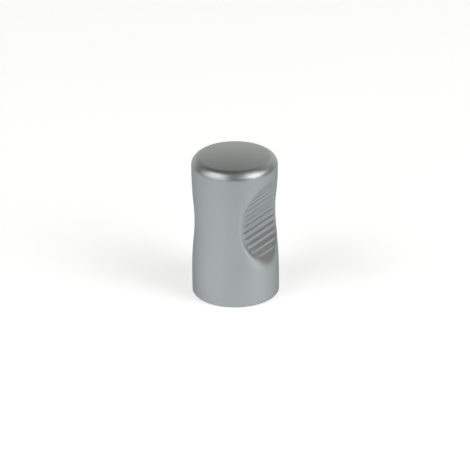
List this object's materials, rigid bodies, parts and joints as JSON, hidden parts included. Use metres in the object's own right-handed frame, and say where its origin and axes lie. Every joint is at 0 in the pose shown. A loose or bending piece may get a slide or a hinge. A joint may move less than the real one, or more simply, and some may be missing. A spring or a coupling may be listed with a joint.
{
  "type": "cabinet knob",
  "caption": "Upright round pull knob with a gently waisted body, a domed top and two opposed ribbed finger scoops, held by one screw from behind.",
  "frame": {"origin": "middle of the base face, where the knob meets the door or drawer front", "axes": "+Z along the turned axis, from the base to the domed head; +X and -X point out of the two finger scoops, whose ribs run along Y"},
  "size_m": [0.02, 0.02, 0.0342],
  "materials": {
    "satin_chrome": "satin chrome plating over a fine blasted surface"
  },
  "bodies": {
    "root": {"knob_body": "satin_chrome"}
  },
  "joints": []
}
